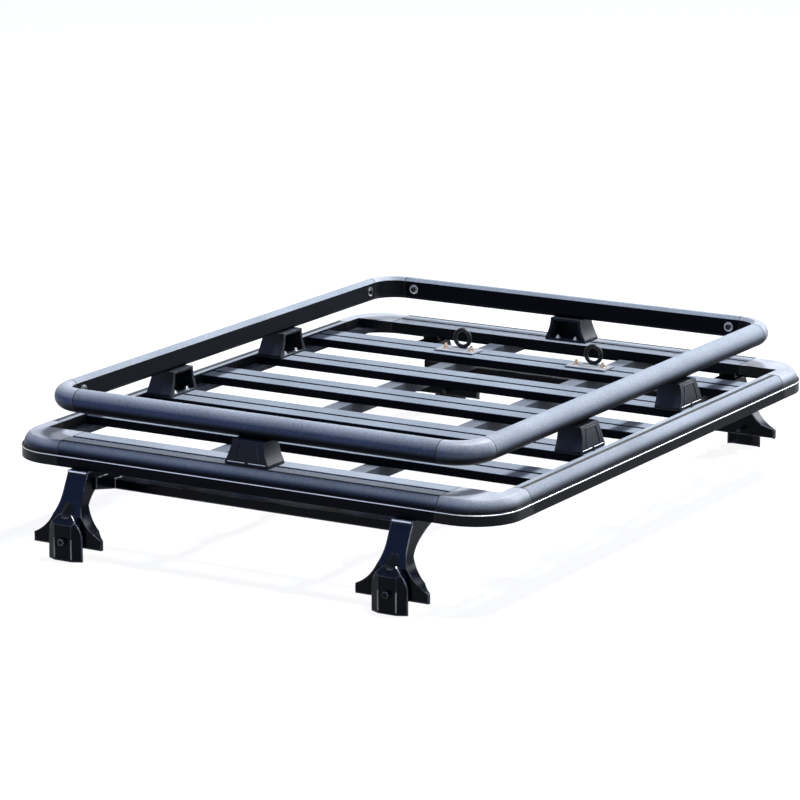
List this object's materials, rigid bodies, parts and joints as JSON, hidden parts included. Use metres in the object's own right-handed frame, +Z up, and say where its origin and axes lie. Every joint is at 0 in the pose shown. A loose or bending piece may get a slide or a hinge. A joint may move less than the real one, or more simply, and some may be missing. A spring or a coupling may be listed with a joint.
{
  "type": "roof basket",
  "caption": "Open vehicle roof basket: a slatted deck in a rounded frame, a raised rail on pedestals, and bolted legs with claws for a roof gutter.",
  "frame": {"origin": "middle of the plan, on the floor under the claws' toes", "axes": "+X along the slats to the right, +Y across the slats to the back, +Z up"},
  "size_m": [1.14, 1.584, 0.32],
  "materials": {
    "coated_profile": "fine-textured black powder coat on aluminium profile",
    "coated_casting": "satin black coat on cast corners",
    "moulded_plastic": "matte moulded dark plastic",
    "coated_steel": "satin black coat on pressed steel and bar",
    "plated_bolt": "zinc-plated steel",
    "plated_eye": "zinc-plated steel"
  },
  "bodies": {
    "root": {"claw_bolts": "plated_bolt", "deck_slat_1": "coated_profile", "deck_slat_2": "coated_profile", "deck_slat_3": "coated_profile", "deck_slat_4": "coated_profile", "deck_slat_5": "coated_profile", "eye_plate_left": "plated_eye", "eye_plate_right": "plated_eye", "foot_back_left": "coated_steel", "foot_back_right": "coated_steel", "foot_front_left": "coated_steel", "foot_front_right": "coated_steel", "frame_corner_back_left": "coated_casting", "frame_corner_back_right": "coated_casting", "frame_corner_front_left": "coated_casting", "frame_corner_front_right": "coated_casting", "frame_rail_back": "coated_profile", "frame_rail_front": "coated_profile", "frame_rail_left": "coated_profile", "frame_rail_right": "coated_profile", "gutter_claw_back_left": "coated_steel", "gutter_claw_back_right": "coated_steel", "gutter_claw_front_left": "coated_steel", "gutter_claw_front_right": "coated_steel", "leg_stub_back_left": "coated_steel", "leg_stub_back_right": "coated_steel", "leg_stub_front_left": "coated_steel", "leg_stub_front_right": "coated_steel", "pedestal_back": "moulded_plastic", "pedestal_front": "moulded_plastic", "pedestal_left_back": "moulded_plastic", "pedestal_left_front": "moulded_plastic", "pedestal_right_back": "moulded_plastic", "pedestal_right_front": "moulded_plastic", "sill_bar_back": "coated_steel", "sill_bar_front": "coated_steel", "top_corner_back_left": "coated_casting", "top_corner_back_right": "coated_casting", "top_corner_front_left": "coated_casting", "top_corner_front_right": "coated_casting", "top_rail_back": "coated_profile", "top_rail_front": "coated_profile", "top_rail_left": "coated_profile", "top_rail_right": "coated_profile", "under_bar_1": "coated_steel", "under_bar_2": "coated_steel", "under_bar_3": "coated_steel", "under_bar_4": "coated_steel"}
  },
  "joints": []
}
